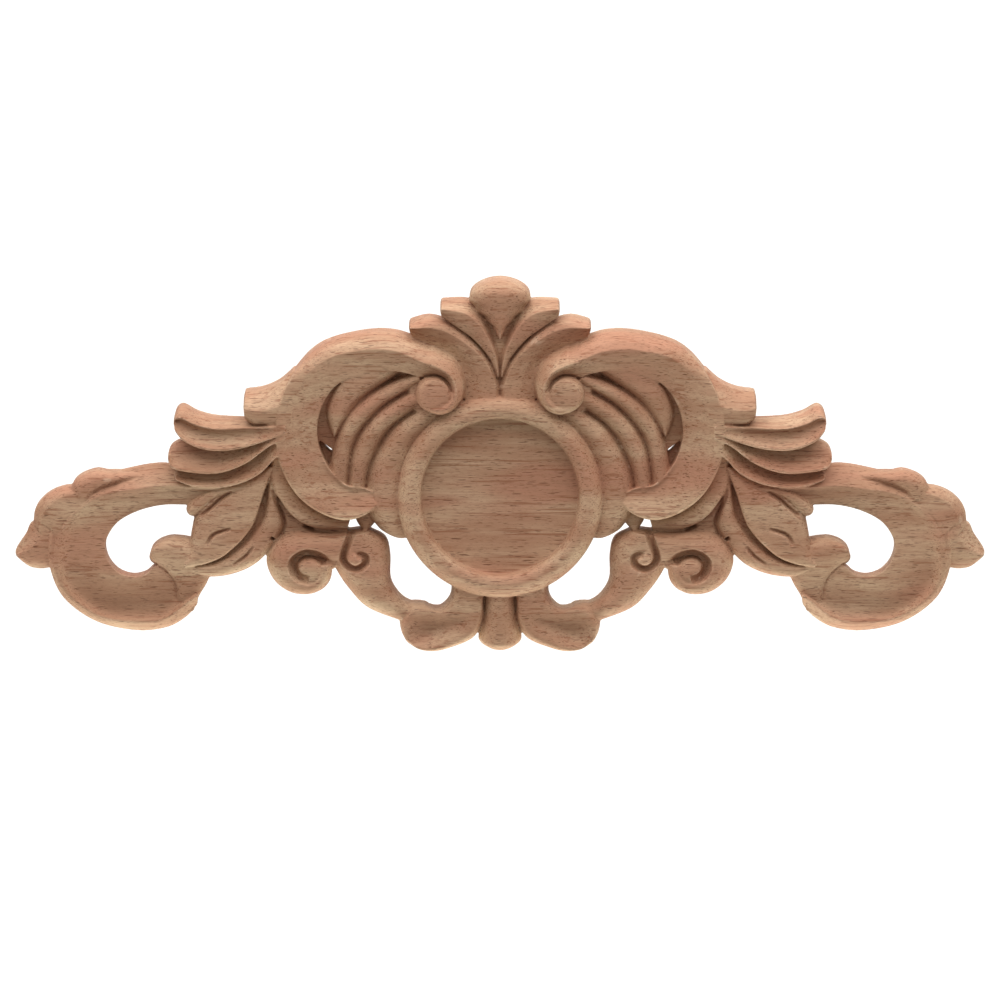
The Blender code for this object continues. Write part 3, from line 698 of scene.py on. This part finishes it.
def rubberwood(settings):
    """Unfinished rubberwood with its grain along X: soft bands, fine fibres and short dark pores, with
    painted shade in the creases and a painted highlight on the convex edges.
    """
    wood = Shader("rubberwood")
    spot = wood.node("ShaderNodeTexCoord", "Object")
    bands = wood.noise(wood.stretched(spot, (70, 9, 9)), 3.0, 0.55)
    blush = wood.noise(wood.stretched(spot, (60, 15, 15)), 2.0)
    fibres = wood.noise(wood.stretched(spot, (12, 0.5, 0.5)), 3.0, 0.6)
    streaks = wood.noise(wood.stretched(spot, (22, 0.8, 0.8)), 2.0, 0.6)
    crowd = wood.noise(wood.stretched(spot, (24, 6, 6)), 2.0)
    # Three sizes of pore: the length of a cell, and how far from its middle the pore reaches
    pores = None
    for length, reach in ((6.5, 0.22), (10, 0.2), (4.2, 0.24)):
        cells = wood.stretched(spot, (length, length * 0.095, length * 0.095))
        near = wood.node("ShaderNodeTexVoronoi", "Distance", Vector=cells, Scale=1.0, Randomness=1.0)
        tint = wood.node("ShaderNodeTexVoronoi", "Color", Vector=cells, Scale=1.0, Randomness=1.0)
        pick = wood.node("ShaderNodeSeparateColor", "Red", Color=tint) + crowd * 1.6
        dash = (1.0 - near.between(reach * 0.5, reach)) * pick.between(1.0, 1.32)
        pores = dash if pores is None else pores.math("MAXIMUM", dash)
    specks = wood.noise(wood.stretched(spot, (1.5, 0.34, 0.34)), 2.0, 0.65)
    plain = wood.mixed(bands.between(0.36, 0.62), (0.580, 0.402, 0.256, 1), (0.450, 0.256, 0.153, 1))
    warm = wood.mixed(blush.between(0.46, 0.64) * 0.8, plain, (0.490, 0.247, 0.153, 1))
    fine = wood.mixed(fibres.between(0.35, 0.7) * 0.42, warm, (0.360, 0.195, 0.115, 1))
    grained = wood.mixed(specks.between(0.5, 0.78) * 0.6, fine, (0.260, 0.120, 0.068, 1))
    lined = wood.mixed(streaks.between(0.54, 0.68) * 0.6, grained, (0.270, 0.105, 0.052, 1))
    bend = wood.node("ShaderNodeNewGeometry", "Pointiness")
    # Painted shade: the colour is darkened in concave creases, where shade falls
    crease_shaded = wood.mixed((1.0 - bend.between(0.43, 0.495)) * settings.crease_shade, lined, (0.170, 0.062, 0.028, 1))
    # Painted highlight: convex edges are made paler, standing in for light on the bevels
    edge_lit = wood.mixed(bend.between(0.515, 0.58) * settings.edge_highlight, crease_shaded, (0.760, 0.600, 0.430, 1))
    wood.set(Base_Color=wood.mixed(pores * settings.pore_strength, edge_lit, (0.105, 0.038, 0.016, 1)),
             Roughness=0.62 + fibres * 0.16 - bend.between(0.515, 0.58) * 0.08,
             Normal=wood.node("ShaderNodeBump", "Normal", Strength=0.6, Distance=0.1 * MM,
                              Height=fibres * 0.5 + specks * -0.5 - pores))
    wood.surface.inputs["Specular IOR Level"].default_value = 0.28
    return wood.material


def pale_paper(settings):
    """White paper of the studio's sweep, which glows behind the object and fades toward the camera."""
    paper = Shader("white_paper")
    spot = paper.node("ShaderNodeTexCoord", "Object")
    behind = paper.node("ShaderNodeSeparateXYZ", "Y", Vector=spot).between(0.02, 0.11)
    paper.set(Base_Color=(0.2, 0.19, 0.18, 1), Roughness=0.9,
              Emission_Color=paper.mixed(behind, (0.08, 0.075, 0.07, 1), (1, 1, 0.98, 1)))
    paper.surface.inputs["Emission Strength"].default_value = settings.paper_glow
    return paper.material


class AppliqueSettings(bpy.types.PropertyGroup):
    """Sizes, finish, painted crease shade and edge highlight, and light that a user would change"""
    voxel: bpy.props.FloatProperty(name="Fusing grid", description="Grid on which the blocks are fused",
                                   default=0.3 * MM, precision=5, unit="LENGTH")
    triangles: bpy.props.IntProperty(name="Triangles", description="Triangles that the carving keeps",
                                     default=192000, min=20000)
    pore_strength: bpy.props.FloatProperty(name="Pores", description="How dark the pores are", default=0.75,
                                           min=0, max=1, subtype="FACTOR")
    # Painted highlight: how pale the convex edges are painted
    edge_highlight: bpy.props.FloatProperty(name="Wear", description="How pale the edges are rubbed", default=0.26,
                                  min=0, max=1, subtype="FACTOR")
    # Painted shade: how dark the creases are painted
    crease_shade: bpy.props.FloatProperty(name="Cavities", description="How dark the creases are", default=0.5,
                                    min=0, max=1, subtype="FACTOR")
    camera_tilt: bpy.props.FloatProperty(name="Camera tilt",
                                         description="Height of the camera as an angle",
                                         default=math.radians(9), subtype="ANGLE")
    camera_distance: bpy.props.FloatProperty(name="Camera distance",
                                             description="Distance from the medallion",
                                             default=2.4, unit="LENGTH")
    paper_glow: bpy.props.FloatProperty(name="Paper glow",
                                        description="Light that the white sweep gives off",
                                        default=1.0, min=0)
    top_light: bpy.props.FloatProperty(name="Top light",
                                       description="Power of the soft light above",
                                       default=11.5, min=0, unit="POWER")
    bounce: bpy.props.FloatProperty(name="Bounce", description="Power of the light that the table sends up",
                                    default=1, min=0, unit="POWER")
    fill: bpy.props.FloatProperty(name="Fill", description="Strength of the light from all round",
                                  default=0.38, min=0)


class APPLIQUE_OT_carve(bpy.types.Operator):
    """Carve the applique from one board of rubberwood"""
    bl_idname = "applique.carve"
    bl_label = "Carve applique"
    bl_options = {"REGISTER", "UNDO"}

    def execute(self, context):
        settings = context.scene.applique
        low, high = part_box("carved_applique")
        sides = joined(crest_leaves() + great_scroll() + ribs() + plumes() + drooping_leaf() + end_volute()
                       + lower_scrolls() + foot_lobes())
        clear_transform(sides)
        applied(sides, "MIRROR", use_mirror_merge=False)
        piece = joined([sides, medallion()] + crest_middle() + stem())
        clear_transform(piece)
        piece.name = "applique"
        applied(piece, "REMESH", mode="VOXEL", voxel_size=settings.voxel)
        sink_gouges(piece)
        applied(piece, "SMOOTH", factor=0.5, iterations=1)
        piece.data.calc_loop_triangles()
        applied(piece, "DECIMATE", ratio=min(1.0, settings.triangles / len(piece.data.loop_triangles)))
        settle_in_box(piece, low, high)
        piece.data.calc_loop_triangles()
        if len(piece.data.loop_triangles) > TRIANGLE_LIMIT:
            raise RuntimeError("the carving has too many triangles")
        bpy.ops.object.shade_smooth()
        piece.data.materials.clear()
        piece.data.materials.append(rubberwood(settings))
        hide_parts("carved_applique")
        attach(piece, "root")
        return {"FINISHED"}


class APPLIQUE_OT_stage(bpy.types.Operator):
    """Set up the white sweep, the soft lights and the camera"""
    bl_idname = "applique.stage"
    bl_label = "Set up studio"
    bl_options = {"REGISTER", "UNDO"}

    def execute(self, context):
        settings = context.scene.applique
        self.sweep(settings)
        self.lights(context, settings)
        self.camera(context, settings)
        context.scene.view_settings.view_transform = "Standard"
        return {"FINISHED"}

    def sweep(self, settings):
        """Paper that runs under the object and curves up behind it."""
        bpy.ops.object.select_all(action="DESELECT")
        bpy.ops.mesh.primitive_plane_add(size=8, location=(0, 0, TABLE_HEIGHT))
        floor = bpy.context.object
        floor.name = "floor"
        bpy.ops.object.mode_set(mode="EDIT")
        bpy.ops.mesh.select_mode(type="EDGE")
        bpy.ops.mesh.select_all(action="DESELECT")
        bpy.ops.object.mode_set(mode="OBJECT")
        for edge in floor.data.edges:
            edge.select = all(floor.data.vertices[v].co.y > 0 for v in edge.vertices)
        bpy.ops.object.mode_set(mode="EDIT")
        bpy.ops.mesh.extrude_region_move(TRANSFORM_OT_translate={"value": (0, 0, 5)})
        bpy.ops.object.mode_set(mode="OBJECT")
        floor.data.materials.append(pale_paper(settings))

    def lights(self, context, settings):
        """Broad warm light above, an even fill from all round, and what a white table sends up."""
        bpy.ops.object.light_add(type="AREA", location=(0, -0.26, 0.62))
        top = bpy.context.object
        top.name = "top_light"
        top.data.shape = "RECTANGLE"
        top.data.size = 1.5
        top.data.size_y = 0.9
        top.data.energy = settings.top_light
        top.data.color = (1.0, 0.93, 0.93)
        bpy.ops.object.light_add(type="AREA", location=(0, -0.014, TABLE_HEIGHT + 4 * MM),
                                 rotation=(math.pi, 0, 0))
        low = bpy.context.object
        low.name = "table_bounce"
        low.data.shape = "RECTANGLE"
        low.data.size = 0.7
        low.data.size_y = 0.06
        low.data.energy = settings.bounce
        low.data.color = (0.93, 1.0, 0.94)
        world = bpy.data.worlds.new("studio")
        world.use_nodes = True
        background = world.node_tree.nodes["Background"]
        background.inputs["Color"].default_value = (1.0, 0.985, 0.96, 1)
        background.inputs["Strength"].default_value = settings.fill
        context.scene.world = world

    def camera(self, context, settings):
        """Long lens from the front, a little above the medallion."""
        tilt = settings.camera_tilt
        bpy.ops.object.camera_add(location=(0, -settings.camera_distance * math.cos(tilt),
                                            CAMERA_AIM + settings.camera_distance * math.sin(tilt)),
                                  rotation=(math.pi / 2 - tilt, 0, 0))
        camera = bpy.context.object
        camera.data.sensor_width = 36
        camera.data.lens = camera.data.sensor_width * settings.camera_distance / FRAME_WIDTH
        camera.data.clip_start = 0.05
        camera.data.clip_end = 30
        context.scene.camera = camera


class APPLIQUE_PT_panel(bpy.types.Panel):
    """Settings and steps of the applique"""
    bl_idname = "APPLIQUE_PT_panel"
    bl_label = "Corner applique"
    bl_space_type = "VIEW_3D"
    bl_region_type = "UI"
    bl_category = "Applique"

    def draw(self, context):
        settings = context.scene.applique
        column = self.layout.column()
        for name in ("voxel", "triangles", "pore_strength", "edge_highlight", "crease_shade"):
            column.prop(settings, name)
        column.operator(APPLIQUE_OT_carve.bl_idname)
        column.separator()
        for name in ("camera_tilt", "camera_distance", "paper_glow", "top_light", "bounce", "fill"):
            column.prop(settings, name)
        column.operator(APPLIQUE_OT_stage.bl_idname)


CLASSES = (AppliqueSettings, APPLIQUE_OT_carve, APPLIQUE_OT_stage, APPLIQUE_PT_panel)


def register():
    for kind in CLASSES:
        bpy.utils.register_class(kind)
    bpy.types.Scene.applique = bpy.props.PointerProperty(type=AppliqueSettings)


def unregister():
    del bpy.types.Scene.applique
    for kind in reversed(CLASSES):
        bpy.utils.unregister_class(kind)


def main():
    register()
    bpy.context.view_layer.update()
    bpy.ops.applique.carve()
    bpy.ops.applique.stage()


if __name__ == "__main__":
    main()
